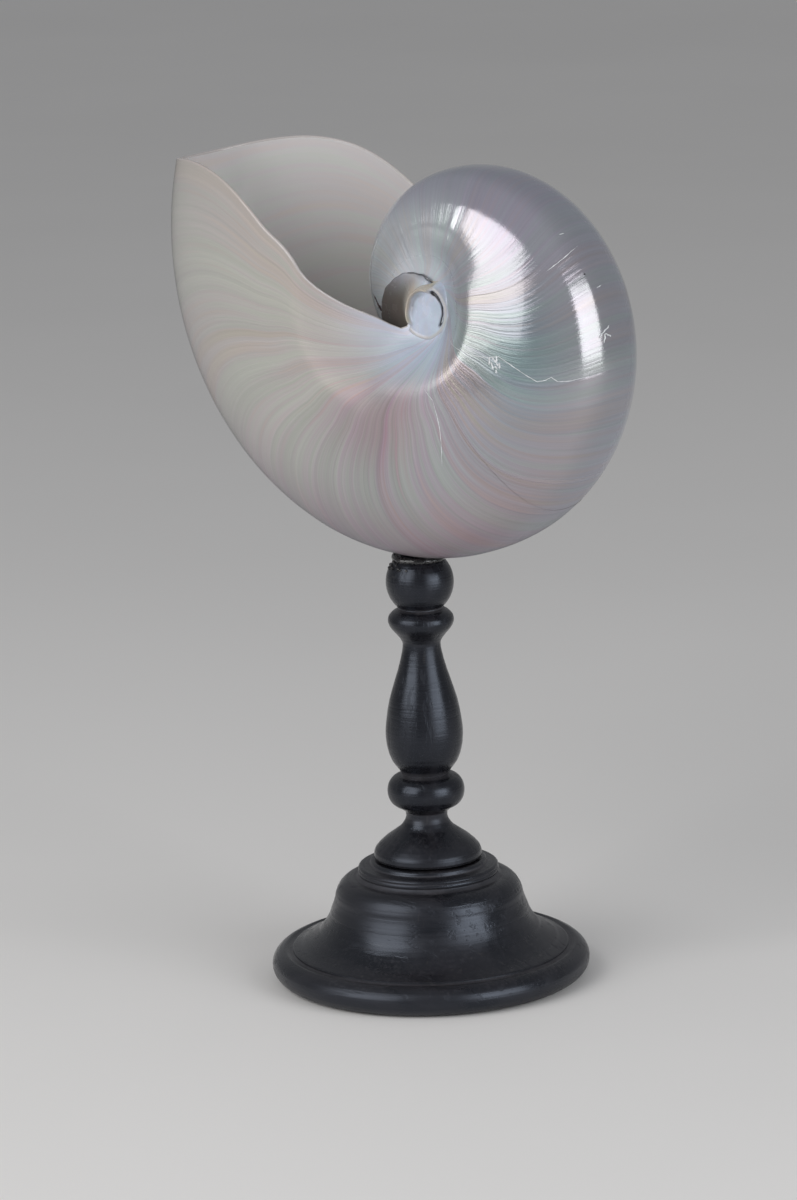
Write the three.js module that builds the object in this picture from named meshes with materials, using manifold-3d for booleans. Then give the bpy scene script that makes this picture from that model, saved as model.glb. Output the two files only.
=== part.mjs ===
// A pearl nautilus shell, polished to the nacre, on a two-piece turned stand.
// Millimetres, +Z up, origin at the centre of the foot's underside. The shell's plane of
// symmetry is the XZ plane: mouth up and toward -X, coil axis along Y.
import * as THREE from "three";
import { mergeVertices } from "three/addons/utils/BufferGeometryUtils.js";
import Module from "manifold-3d";

const wasm = await Module();
wasm.setup();

const clearance = 0.3;

// Foot: underside, rounded rim with a groove inside it, cove, bell wall and stepped top.
const footTopHeight = 37.8;
const footTopRadius = 17.5;
const wallRadius = 29.6;
const rimRadius = 50.1;
const rimMiddleRadius = 44.4;
const rimMiddleHeight = 4.7;
const rimHalfHeight = 5;
const rimGrooveRadius = 43.2;
const undersideRadius = 46.3;
const socketRadius = 6.3;
const socketFloor = 24;
const footSegments = 36;

// Stem: tenon, domed flange, neck, lower bead, vase, neck, collar and ball.
const tenonRadius = 6;
const flangeRadius = 17;
const flangeHeight = 38.1;
const neckRadius = 6.5;
const neckHeight = 51.2;
const lowerBeadRadius = 12.1;
const lowerBeadHeight = 59.7;
const vaseSeamHeight = 65.4;
const vaseSeamRadius = 7.5;
const vaseRadius = 12.1;
const upperNeckHeight = 106.3;
const upperNeckRadius = 5.9;
const collarRadius = 10.3;
const collarHeight = 114.2;
const ballRadius = 10.6;
const ballHeight = 126.6;
const stemSegments = 24;

// Shell: a logarithmic spiral that slows down a little as it grows. Growth is measured in
// radians along the outer edge, zero where the whorl points down and to the left.
const coilAxis = { x: 18, z: 215.9 };
const spiralRadius = 85.9;
const spiralGrowth = 0.1643;
const spiralSlowing = 0.0097;
const spiralZero = THREE.MathUtils.degToRad(242.75);
const whorlHalfWidth = 0.417;
const whorlNarrowing = 0.053;
const shoulder = 0.62;
const shoulderRadius = 0.14;
const umbilicalHalfWidth = 0.2085;
const outerSquareness = 2.43;
const innerSquareness = 2.55;
const callusRadius = 7;
const callusHalfWidth = 17.2;
const pocketHalfWidth = 13.5;
const dishFloor = 6.5;
const dishRadius = 34;
const coilDishFloor = 8.5;
const coilDishRadius = 24;
const pocketEnd = -190;
const pocketRun = 60;
const coilDishEnd = 25;
const coilDishRun = 50;
const coreRadius = 1.2;
const wallThickness = 1.4;
const lastSeptum = THREE.MathUtils.degToRad(-60);
const firstGrowth = THREE.MathUtils.degToRad(-470);
const septumDish = { share: 0.6, radial: 23, lateral: 23, along: 13 };

// Glue between ball and shell
const glueRing = { radius: 7.6, thickness: 1.7, height: 134.6 };
const glueBead = { radius: 2, at: [-8.2, -1.6, 134.2] };

// Growth angle of the lip in degrees at shares of the whorl radius, from the umbilicus to the
// outer edge.
const lipShares = [0.07, 0.1, 0.144, 0.2, 0.3, 0.47, 0.65, 0.8, 0.91, 1];
const lipAngles = [36, 27, 52, 68.5, 88, 94, 95, 91.8, 87.9, 84.4];

// A smooth curve through points [place, value], level at its first point.
function smoothCurve(places, values, at) {
  const last = places.length - 1;
  const x = Math.min(Math.max(at, places[0]), places[last]);
  const step = (i) => places[i + 1] - places[i];
  const slope = (i) => (values[i + 1] - values[i]) / step(i);
  const tangent = (i) => {
    if (i === 0) return 0;
    if (i === last) return slope(last - 1);
    return (slope(i - 1) * step(i) + slope(i) * step(i - 1)) / (step(i - 1) + step(i));
  };
  let i = 0;
  while (i < last - 1 && x > places[i + 1]) i += 1;
  const u = (x - places[i]) / step(i);
  const start = (1 + 2 * u) * (1 - u) ** 2 * values[i] + u * (1 - u) ** 2 * step(i) * tangent(i);
  const end = u * u * (3 - 2 * u) * values[i + 1] + u * u * (u - 1) * step(i) * tangent(i + 1);
  return start + end;
}

function smoothStep(x) {
  const u = Math.min(Math.max(x, 0), 1);
  return u * u * (3 - 2 * u);
}

function whorlRadius(growth) {
  return spiralRadius * Math.exp(spiralGrowth * growth - spiralSlowing * growth * growth);
}

// Share of the whorl radius and of the half width across a flank: 0 is the outer edge,
// 1 the umbilicus.
function crossSection(across) {
  if (across <= shoulder) {
    const turn = (Math.PI / 2) * (across / shoulder);
    return {
      out: shoulderRadius + (1 - shoulderRadius) * Math.cos(turn) ** (2 / outerSquareness),
      wide: whorlHalfWidth * Math.sin(turn) ** (2 / outerSquareness),
    };
  }
  const turn = (Math.PI / 2) * ((across - shoulder) / (1 - shoulder));
  const drop = Math.max(Math.cos(turn), 0) ** (2 / innerSquareness);
  return {
    out: shoulderRadius * (1 - Math.sin(turn) ** (2 / innerSquareness)),
    wide: umbilicalHalfWidth + (whorlHalfWidth - umbilicalHalfWidth) * drop,
  };
}

// The flank sinks in a shallow dish toward the umbilicus. The floor of the dish is lower on the
// earlier coil, which leaves a pocket beside the callus. On the polished back the dish is
// narrower, with a straight wall that rounds over at its rim.
function flankHalfWidth(growth, radius, halfWidth) {
  const degrees = THREE.MathUtils.radToDeg(growth);
  const rise = smoothStep((degrees - pocketEnd) / pocketRun);
  const middle = pocketHalfWidth + (callusHalfWidth - pocketHalfWidth) * rise;
  const soft = smoothStep((radius - dishFloor) / (dishRadius - dishFloor));
  const wall = (radius - coilDishFloor) / (coilDishRadius - coilDishFloor);
  const u = Math.min(Math.max(wall, 0), 1);
  const full = u * (3 - u * u) / 2;
  const narrow = rise * smoothStep((coilDishEnd - degrees) / coilDishRun);
  return middle + (halfWidth - middle) * (soft + (full - soft) * narrow);
}

// A point of the shell's outer face. across runs from -1 (umbilicus of the -Y flank)
// through 0 (outer edge) to 1 (umbilicus of the +Y flank).
function shellPoint(growth, across) {
  const { out, wide } = crossSection(Math.abs(across));
  const size = whorlRadius(growth);
  const radius = Math.max(size * out, coreRadius);
  const halfWidth = size * wide * Math.exp(-whorlNarrowing * growth);
  const lateral = Math.sign(across) * flankHalfWidth(growth, radius, halfWidth);
  const angle = spiralZero - growth;
  return new THREE.Vector3(
    coilAxis.x + radius * Math.cos(angle),
    across === 0 ? 0 : lateral,
    coilAxis.z + radius * Math.sin(angle),
  );
}

function shellNormal(growth, across) {
  const step = 0.004;
  const side = Math.min(Math.max(across, -1 + step), 1 - step);
  const along = shellPoint(growth + step, side).sub(shellPoint(growth - step, side));
  const over = shellPoint(growth, side + step).sub(shellPoint(growth, side - step));
  return along.cross(over).normalize();
}

function meshFromTriangles(points, triangles) {
  const geometry = new THREE.BufferGeometry();
  geometry.setAttribute("position", new THREE.Float32BufferAttribute(points.flat(), 3));
  geometry.setIndex(triangles.flat());
  return geometry;
}

function toSolid(geometry) {
  const bare = geometry.clone();
  bare.deleteAttribute("normal");
  bare.deleteAttribute("uv");
  const merged = mergeVertices(bare, 1e-4);
  const kept = [];
  const index = merged.index.array;
  for (let i = 0; i < index.length; i += 3) {
    const [a, b, c] = [index[i], index[i + 1], index[i + 2]];
    if (a !== b && b !== c && c !== a) kept.push(a, b, c);
  }
  return new wasm.Manifold(
    new wasm.Mesh({
      numProp: 3,
      vertProperties: merged.attributes.position.array,
      triVerts: new Uint32Array(kept),
    }),
  );
}

function toGeometry(solid) {
  const mesh = solid.getMesh();
  const geometry = new THREE.BufferGeometry();
  geometry.setAttribute("position", new THREE.BufferAttribute(mesh.vertProperties, 3));
  geometry.setIndex(new THREE.BufferAttribute(mesh.triVerts, 1));
  const flat = geometry.toNonIndexed();
  flat.computeVertexNormals();
  return flat;
}

// Lathe around the Z axis from [radius, height] points listed upward on the outside.
function turned(profile, segments) {
  const outline = profile.map(([radius, height]) => new THREE.Vector2(radius, height));
  const geometry = new THREE.LatheGeometry(outline, segments);
  geometry.rotateX(Math.PI / 2);
  return toSolid(geometry);
}

// Points on an ellipse in the profile, from one angle to another in degrees.
function arc(centre, radii, from, to, steps) {
  const points = [];
  for (let i = 0; i <= steps; i += 1) {
    const angle = THREE.MathUtils.degToRad(from + ((to - from) * i) / steps);
    points.push([centre[0] + radii[0] * Math.cos(angle), centre[1] + radii[1] * Math.sin(angle)]);
  }
  return points;
}

function curve(points, steps) {
  const spline = new THREE.SplineCurve(points.map(([x, y]) => new THREE.Vector2(x, y)));
  return spline.getPoints(steps).map((p) => [p.x, p.y]);
}

function makeFoot() {
  const profile = [
    [0, 0],
    [undersideRadius, 0],
    ...arc([rimMiddleRadius, rimMiddleHeight], [rimRadius - rimMiddleRadius, rimHalfHeight], -60, 78, 7),
    [rimGrooveRadius + 0.8, rimMiddleHeight + 4.3],
    [rimGrooveRadius, rimMiddleHeight + 4.6],
    ...arc([50, 25.5], [19.5, 16.5], 249, 192, 5),
    ...arc([23.4, 25], [wallRadius - 23.4, 7.2], 6, 90, 4),
    [22.8, 32.6],
    ...curve([[22, 33.6], [22.2, 34.9], [21.6, 35.9], [20.2, 36.3]], 3),
    [18.3, 36.4],
    [17.9, 37.3],
    [footTopRadius, footTopHeight],
    [0, footTopHeight],
  ];
  const socket = turned(
    [
      [0, socketFloor],
      [socketRadius, socketFloor],
      [socketRadius, footTopHeight + clearance],
      [0, footTopHeight + clearance],
    ],
    footSegments,
  );
  return turned(profile, footSegments).subtract(socket);
}

// The ball's top is cut to the underside of the shell that sits on it.
function makeStem(shell) {
  const profile = [
    [0, socketFloor + clearance],
    [tenonRadius, socketFloor + clearance],
    [tenonRadius, flangeHeight],
    [flangeRadius - 0.4, flangeHeight],
    ...curve([[flangeRadius, 38.9], [16.3, 41.4], [14, 43.9], [11.2, 45.9], [8.4, 48]], 5),
    [neckRadius, neckHeight],
    [neckRadius + 0.4, 53.4],
    ...arc([8, lowerBeadHeight], [lowerBeadRadius - 8, 5.1], -75, 80, 6),
    [vaseSeamRadius, vaseSeamHeight],
    ...curve([[8.6, 67.3], [10.5, 70], [vaseRadius - 0.3, 74.4], [vaseRadius, 78.6], [11.7, 83]], 5),
    ...curve([[10.7, 88.6], [8.8, 95], [7, 101], [upperNeckRadius, upperNeckHeight]], 4),
    ...curve([[6.9, 108.8], [9.3, 111.8], [collarRadius, collarHeight], [9.2, 116.8]], 4),
    [7, 118.3],
    ...arc([0, ballHeight], [ballRadius, ballRadius], -50, 62, 7),
    [0, ballHeight + 9.4],
  ];
  return turned(profile, stemSegments).subtract(shell.translate([0, 0, -clearance]));
}

function sectionRow(growth, places) {
  return places.map((across) => shellPoint(growth, across));
}

function spaced(from, to, steps) {
  return Array.from({ length: steps + 1 }, (_, i) => from + ((to - from) * i) / steps);
}

// Places across the whorl, closer together at the shoulder where the flank turns in.
function acrossPlaces() {
  const half = [0.13, 0.24, 0.33, 0.41, 0.47, 0.51, 0.545, 0.575, 0.6, 0.62, 0.66, 0.72, 0.8, 1];
  return [...half.map((t) => -t).reverse(), 0, ...half];
}

// One stretch of the coil, filled from the outer face to the core. It turns less than a full
// circle, so that it doesn't meet itself.
function whorlStretch(from, to, steps) {
  const places = acrossPlaces();
  const points = [];
  const triangles = [];
  const wide = places.length;
  const rows = spaced(from, to, steps);
  rows.forEach((growth) => sectionRow(growth, places).forEach((p) => points.push(p.toArray())));
  for (let i = 0; i < steps; i += 1) {
    for (let j = 0; j < wide; j += 1) {
      const k = (j + 1) % wide;
      const [a, b, c, d] = [i * wide + j, i * wide + k, (i + 1) * wide + j, (i + 1) * wide + k];
      triangles.push([a, c, b], [b, c, d]);
    }
  }
  [0, steps].forEach((row) => {
    const growth = rows[row];
    const ring = sectionRow(growth, places).map(
      (p) => new THREE.Vector2(Math.hypot(p.x - coilAxis.x, p.z - coilAxis.z), p.y),
    );
    const faces = THREE.ShapeUtils.triangulateShape(ring, []);
    const turn = THREE.ShapeUtils.area(ring) > 0 ? 1 : -1;
    faces.forEach(([a, b, c]) => {
      const [p, q, r] = [row * wide + a, row * wide + b, row * wide + c];
      const forward = (row === 0 ? 1 : -1) * turn > 0;
      triangles.push(forward ? [p, q, r] : [p, r, q]);
    });
  });
  return toSolid(meshFromTriangles(points, triangles));
}

// The free wall of the body chamber, from the last septum to the lip.
function chamberWall(steps) {
  const places = acrossPlaces().filter((t) => Math.abs(t) <= 0.8);
  const wide = places.length;
  const rooted = THREE.MathUtils.degToRad(4);
  const outer = [];
  const inner = [];
  for (let i = 0; i <= steps; i += 1) {
    places.forEach((across) => {
      const { out } = crossSection(Math.abs(across));
      const lip = THREE.MathUtils.degToRad(smoothCurve(lipShares, lipAngles, out));
      const growth = lastSeptum + ((lip - lastSeptum) * i) / steps;
      outer.push(shellPoint(growth, across).toArray());
      const inside = i === 0 ? growth - rooted : growth;
      const normal = shellNormal(inside, across);
      inner.push(shellPoint(inside, across).addScaledVector(normal, -wallThickness).toArray());
    });
  }
  const points = [...outer, ...inner];
  const shift = outer.length;
  const triangles = [];
  const quad = (a, b, c, d) => triangles.push([a, c, b], [a, d, c]);
  for (let i = 0; i < steps; i += 1) {
    for (let j = 0; j < wide - 1; j += 1) {
      const a = i * wide + j;
      const b = a + 1;
      const c = b + wide;
      const d = a + wide;
      quad(a, b, c, d);
      quad(shift + a, shift + d, shift + c, shift + b);
    }
  }
  for (let j = 0; j < wide - 1; j += 1) {
    const a = steps * wide + j;
    quad(a, a + 1, shift + a + 1, shift + a);
    quad(j + 1, j, shift + j, shift + j + 1);
  }
  for (let i = 0; i < steps; i += 1) {
    const a = i * wide;
    const b = a + wide - 1;
    quad(a, a + wide, shift + a + wide, shift + a);
    quad(b + wide, b, shift + b, shift + b + wide);
  }
  return toSolid(meshFromTriangles(points, triangles));
}

// The plug of callus that fills the umbilicus, level with the flank on both sides.
function makeCallus() {
  const half = [
    [0, callusHalfWidth + 0.3],
    [3.2, callusHalfWidth + 0.2],
    [5.6, callusHalfWidth],
    [callusRadius - 0.3, callusHalfWidth - 0.2],
    [callusRadius, callusHalfWidth - 1],
  ];
  const down = half.map(([radius, height]) => [radius, -height]);
  const solid = turned([...down, ...half.reverse()], 24);
  return solid.rotate([90, 0, 0]).translate([coilAxis.x, 0, coilAxis.z]);
}

// The chambers behind the last septum are filled in, and the septum's hollow face is cut.
function makeShell() {
  const middle = lastSeptum - 1.1 * Math.PI;
  const late = whorlStretch(middle, lastSeptum, 24);
  const early = whorlStretch(firstGrowth, middle, 20);
  const angle = spiralZero - lastSeptum;
  const centre = septumDish.share * whorlRadius(lastSeptum);
  const dish = toSolid(new THREE.SphereGeometry(1, 20, 10))
    .scale([septumDish.radial, septumDish.lateral, septumDish.along])
    .rotate([90, 0, 0])
    .rotate([0, -THREE.MathUtils.radToDeg(angle), 0])
    .translate([
      coilAxis.x + centre * Math.cos(angle),
      0,
      coilAxis.z + centre * Math.sin(angle),
    ]);
  return late.add(early).subtract(dish).add(chamberWall(20)).add(makeCallus());
}

// Glue squeezed out around the seat, with a fatter bead on the -X side.
function makeGlue(shell, stem) {
  const ring = new THREE.TorusGeometry(glueRing.radius, glueRing.thickness, 6, 14);
  const bead = new THREE.SphereGeometry(glueBead.radius, 8, 5);
  return toSolid(ring)
    .translate([0, 0, glueRing.height])
    .add(toSolid(bead).translate(glueBead.at))
    .subtract(shell.translate([0, 0, -clearance]))
    .subtract(stem.translate([0, 0, clearance]));
}

function named(name, solid, look) {
  const mesh = new THREE.Mesh(toGeometry(solid), new THREE.MeshStandardMaterial(look));
  mesh.name = name;
  return mesh;
}

const shell = makeShell();
const stem = makeStem(shell);
const group = new THREE.Group();
group.add(
  named("foot", makeFoot(), { color: 0x1b1b1d, roughness: 0.38, metalness: 0 }),
  named("stem", stem, { color: 0x1b1b1d, roughness: 0.35, metalness: 0 }),
  named("glue", makeGlue(shell, stem), { color: 0x8f8a80, roughness: 0.15, metalness: 0 }),
  named("shell", shell, { color: 0xb9b3ac, roughness: 0.22, metalness: 0 }),
);

export default group;
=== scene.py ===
"""A polished pearl nautilus shell glued on a turned, blackened-wood stand."""

import math

import bmesh
import bpy
import numpy as np
from bpy.props import FloatProperty, FloatVectorProperty, PointerProperty
from mathutils import Matrix, Vector


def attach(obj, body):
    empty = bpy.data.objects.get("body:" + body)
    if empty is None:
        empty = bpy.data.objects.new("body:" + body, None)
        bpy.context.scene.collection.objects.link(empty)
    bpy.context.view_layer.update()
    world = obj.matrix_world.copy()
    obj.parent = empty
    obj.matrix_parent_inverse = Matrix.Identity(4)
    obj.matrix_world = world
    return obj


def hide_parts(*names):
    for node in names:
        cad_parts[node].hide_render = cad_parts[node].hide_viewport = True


bl_info = {
    "name": "Nautilus shell on a turned stand",
    "version": (1, 0, 0),
    "blender": (4, 5, 0),
    "location": "View3D > Sidebar > Nautilus",
    "description": "Builds a polished nautilus shell, its turned stand and a small studio",
    "category": "Add Mesh",
}

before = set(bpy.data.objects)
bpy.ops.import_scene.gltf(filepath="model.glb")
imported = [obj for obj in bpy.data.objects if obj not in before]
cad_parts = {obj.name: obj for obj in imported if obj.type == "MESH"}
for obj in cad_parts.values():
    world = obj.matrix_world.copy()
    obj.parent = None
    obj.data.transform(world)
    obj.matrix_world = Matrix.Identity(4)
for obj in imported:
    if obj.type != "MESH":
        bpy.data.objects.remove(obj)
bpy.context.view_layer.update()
MM = 0.001


# Sizes and colours a user may change


class ShellSizes(bpy.types.PropertyGroup):
    """Sizes of the shell. Its spiral grows with each radian that it turns."""

    spiral_radius: FloatProperty(
        name="Spiral radius", description="Radius of the outer edge where growth is zero", unit="LENGTH",
        default=0.0859)
    spiral_growth: FloatProperty(
        name="Spiral growth", description="Growth of the radius per radian", default=0.1643)
    spiral_slowing: FloatProperty(
        name="Spiral slowing", description="How much the growth slows per radian", default=0.0097)
    half_width: FloatProperty(
        name="Half width", description="Half width of the whorl, as a share of its radius", default=0.417)
    narrowing: FloatProperty(
        name="Narrowing", description="How the whorl narrows as it grows", default=0.053)
    lip_thickness: FloatProperty(
        name="Lip thickness", description="Thickness of the polished lip", unit="LENGTH", default=0.0011)
    wall_thickness: FloatProperty(
        name="Wall thickness", description="Thickness of the chamber wall", unit="LENGTH", default=0.0014)
    ripple: FloatProperty(
        name="Growth ripple", description="Height of the ripples along old lips", unit="LENGTH",
        default=0.00006)


class StandSizes(bpy.types.PropertyGroup):
    """Sizes of the turned stand."""

    rim_radius: FloatProperty(
        name="Rim radius", description="Radius of the foot's rim", unit="LENGTH", default=0.05)
    wall_radius: FloatProperty(
        name="Bell radius", description="Radius of the foot's bell", unit="LENGTH", default=0.0296)
    flange_radius: FloatProperty(
        name="Flange radius", description="Radius of the stem's flange", unit="LENGTH", default=0.01695)
    vase_radius: FloatProperty(
        name="Vase radius", description="Radius of the stem's vase", unit="LENGTH", default=0.0121)
    ball_radius: FloatProperty(
        name="Ball radius", description="Radius of the ball", unit="LENGTH", default=0.0106)
    tool_mark: FloatProperty(
        name="Tool mark", description="Depth of the turning marks", unit="LENGTH", default=0.000025)


class PearlColours(bpy.types.PropertyGroup):
    """Colours of the shell."""

    silver: FloatVectorProperty(
        name="Silver", description="Ground colour of the pearl", subtype="COLOR",
        default=(0.365, 0.365, 0.375))
    cream: FloatVectorProperty(
        name="Cream", description="Warm tint of the body whorl", subtype="COLOR",
        default=(0.455, 0.433, 0.412))
    rose: FloatVectorProperty(
        name="Rose", description="Flush below the umbilicus", subtype="COLOR", default=(0.35, 0.265, 0.30))
    sea_green: FloatVectorProperty(
        name="Sea green", description="Cool tint of the glossy back", subtype="COLOR",
        default=(0.245, 0.325, 0.345))
    lilac: FloatVectorProperty(
        name="Lilac", description="Cool tint of the coil", subtype="COLOR", default=(0.37, 0.36, 0.43))
    mist: FloatVectorProperty(
        name="Mist", description="Pale flank of the first coil", subtype="COLOR",
        default=(0.56, 0.60, 0.62))
    # Dusk is painted shade: the darker pearl laid along the outer edge.
    edge_shade_colour: FloatVectorProperty(
        name="Dusk", description="Darker pearl along the outer edge", subtype="COLOR",
        default=(0.23, 0.225, 0.27))
    lining: FloatVectorProperty(
        name="Lining", description="Colour inside the body chamber", subtype="COLOR",
        default=(0.69, 0.67, 0.65))
    porcelain: FloatVectorProperty(
        name="Porcelain", description="Blue-white of the umbilical plug", subtype="COLOR",
        default=(0.50, 0.56, 0.66))
    ivory: FloatVectorProperty(
        name="Ivory", description="Warm edge round the plug", subtype="COLOR", default=(0.50, 0.45, 0.37))
    stain: FloatVectorProperty(
        name="Stain", description="Dark stain in cracks", subtype="COLOR", default=(0.020, 0.020, 0.026))


class WoodColours(bpy.types.PropertyGroup):
    """Colours of the stand."""

    black: FloatVectorProperty(
        name="Black stain", description="Colour of the stained wood", subtype="COLOR",
        default=(0.0035, 0.0035, 0.0050))
    worn: FloatVectorProperty(
        name="Worn edge", description="Colour where the stain is rubbed", subtype="COLOR",
        default=(0.030, 0.025, 0.023))
    dust: FloatVectorProperty(
        name="Dust", description="Colour of dust in the grooves", subtype="COLOR",
        default=(0.085, 0.080, 0.086))


class StudioSettings(bpy.types.PropertyGroup):
    """The floor, the lights and the camera's direction."""

    azimuth: FloatProperty(
        name="Azimuth", description="Direction of the camera round the object",
        default=math.radians(37.04), subtype="ANGLE")
    elevation: FloatProperty(
        name="Elevation", description="Height of the camera over the horizon",
        default=math.radians(13.21), subtype="ANGLE")
    roll: FloatProperty(
        name="Roll", description="Tilt of the camera", default=math.radians(1.79), subtype="ANGLE")
    floor_colour: FloatVectorProperty(
        name="Floor", description="Colour of the floor", subtype="COLOR", default=(0.82, 0.81, 0.80))


# The shell's shape, in millimetres

COIL_AXIS = (18.0, 215.9)
SPIRAL_ZERO = math.radians(242.75)
SHOULDER, SHOULDER_RADIUS = 0.62, 0.14
UMBILICAL_HALF_WIDTH = 0.2085
OUTER_SQUARENESS, INNER_SQUARENESS = 2.43, 2.55
CALLUS_HALF_WIDTH, POCKET_HALF_WIDTH = 17.2, 13.5
DISH_FLOOR, DISH_RADIUS = 6.5, 34.0
COIL_DISH_FLOOR, COIL_DISH_RADIUS = 8.5, 24.0
POCKET_END, POCKET_RUN = -190.0, 60.0
COIL_DISH_END, COIL_DISH_RUN = 25.0, 50.0
LAST_SEPTUM = math.radians(-60)
LIP_SHARES = np.array([0.07, 0.1, 0.144, 0.2, 0.3, 0.47, 0.65, 0.8, 0.91, 1.0])
LIP_ANGLES = np.array([36, 27, 52, 68.5, 88, 94, 95, 91.8, 87.9, 84.4])
SKIN = 0.1
SMALLEST_RADIUS = 1.2
OLDEST_LINE = math.radians(-565)
OUTER_ROWS, OUTER_COLUMNS, LINING_ROWS = 520, 68, 120
PEARL, LINING = 0, 1
POINT_VALUES = {1: ("FLOAT", "value"), 3: ("FLOAT_VECTOR", "vector"), 4: ("FLOAT_COLOR", "color")}


def sizes():
    return bpy.context.scene.nautilus_shell_sizes


def smooth_step(x):
    u = np.clip(x, 0, 1)
    return u * u * (3 - 2 * u)


def bell(x, width, y=0, height=1):
    """A bell curve: 1 where x and y are 0, and fading over the width and the height."""
    return np.exp(-(x / width) ** 2 - (y / height) ** 2)


def smooth_curve(places, values, at):
    """A smooth curve through points, level at its first point."""
    x = np.clip(at, places[0], places[-1])
    step = np.diff(places)
    slope = np.diff(values) / step
    tangent = np.empty(len(values))
    tangent[0], tangent[-1] = 0, slope[-1]
    tangent[1:-1] = (slope[:-1] * step[1:] + slope[1:] * step[:-1]) / (step[:-1] + step[1:])
    i = np.clip(np.searchsorted(places, x) - 1, 0, len(places) - 2)
    u = (x - places[i]) / step[i]
    start = (1 + 2 * u) * (1 - u) ** 2 * values[i] + u * (1 - u) ** 2 * step[i] * tangent[i]
    end = u * u * (3 - 2 * u) * values[i + 1] + u * u * (u - 1) * step[i] * tangent[i + 1]
    return start + end


def lip_growth(share):
    return np.radians(smooth_curve(LIP_SHARES, LIP_ANGLES, share))


def whorl_radius(growth):
    s = sizes()
    return s.spiral_radius / MM * np.exp(s.spiral_growth * growth - s.spiral_slowing * growth * growth)


def cross_section(across):
    """Share of the whorl radius and of the half width, 0 at the outer edge and 1 at the umbilicus."""
    half = sizes().half_width
    t = np.abs(np.asarray(across, float))
    turn = np.where(t <= SHOULDER, t / SHOULDER, (t - SHOULDER) / (1 - SHOULDER)) * (np.pi / 2)
    cos, sin = np.maximum(np.cos(turn), 0), np.maximum(np.sin(turn), 0)
    out = np.where(
        t <= SHOULDER,
        SHOULDER_RADIUS + (1 - SHOULDER_RADIUS) * cos ** (2 / OUTER_SQUARENESS),
        SHOULDER_RADIUS * (1 - sin ** (2 / INNER_SQUARENESS)))
    wide = np.where(
        t <= SHOULDER,
        half * sin ** (2 / OUTER_SQUARENESS),
        UMBILICAL_HALF_WIDTH + (half - UMBILICAL_HALF_WIDTH) * cos ** (2 / INNER_SQUARENESS))
    return out, wide


def place_across(share, places):
    """The place on the section where the whorl has this share of its radius."""
    return np.interp(-share, -cross_section(places)[0], places)


def flank_half_width(growth, radius, half):
    """The flank sinks in a dish toward the umbilicus. On the polished back the dish is narrower."""
    degrees = np.degrees(growth)
    rise = smooth_step((degrees - POCKET_END) / POCKET_RUN)
    middle = POCKET_HALF_WIDTH + (CALLUS_HALF_WIDTH - POCKET_HALF_WIDTH) * rise
    soft = smooth_step((radius - DISH_FLOOR) / (DISH_RADIUS - DISH_FLOOR))
    u = np.clip((radius - COIL_DISH_FLOOR) / (COIL_DISH_RADIUS - COIL_DISH_FLOOR), 0, 1)
    full = u * (3 - u * u) / 2
    narrow = rise * smooth_step((COIL_DISH_END - degrees) / COIL_DISH_RUN)
    return middle + (half - middle) * (soft + (full - soft) * narrow)


def round_coil(radius, turn, lateral):
    """Points at a radius and an angle round the coil's axis, and a distance to the side."""
    axes = COIL_AXIS[0] + radius * np.cos(turn), lateral, COIL_AXIS[1] + radius * np.sin(turn)
    return np.stack(np.broadcast_arrays(*axes), -1)


def coil_radius(points):
    return np.hypot(points[..., 0] - COIL_AXIS[0], points[..., 2] - COIL_AXIS[1])


def shell_point(growth, across):
    """Points of the outer face, a hair inside the solid's."""
    growth, across = np.broadcast_arrays(np.asarray(growth, float), np.asarray(across, float))
    out, wide = cross_section(across)
    size = whorl_radius(growth)
    radius = np.maximum(size * out, SMALLEST_RADIUS)
    half = size * wide * np.exp(-sizes().narrowing * growth)
    lateral = np.maximum(flank_half_width(growth, radius, half) - SKIN, 0)
    return round_coil(radius - SKIN * out, SPIRAL_ZERO - growth, np.sign(across) * lateral)


def across_places(count):
    """Places across the whorl at even steps along its section, over both flanks."""
    t = np.linspace(0, 0.86, 4000)
    out, wide = cross_section(t)
    run = np.concatenate([[0], np.cumsum(np.hypot(np.diff(out), np.diff(wide)))])
    half = np.interp(np.linspace(0, run[-1], count), run, t)
    return np.concatenate([-half[:0:-1], half])


def grid_faces(rows, columns, closed=False, flip=False):
    """Quads between rows of points. In a closed grid the last column meets the first."""
    i, j = np.meshgrid(np.arange(rows - 1), np.arange(columns if closed else columns - 1), indexing="ij")
    near, far = i * columns, (i + 1) * columns
    k = (j + 1) % columns
    quads = np.stack([near + j, near + k, far + k, far + j], -1).reshape(-1, 4)
    return quads[:, ::-1] if flip else quads


def unit(v):
    return v / np.maximum(np.linalg.norm(v, axis=-1, keepdims=True), 1e-9)


def grid_normals(points):
    """Normals of a grid of points, outward for rows that follow growth and columns across."""
    along = np.gradient(points, axis=0)
    over = np.gradient(points, axis=1)
    return unit(np.cross(along, over))


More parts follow.
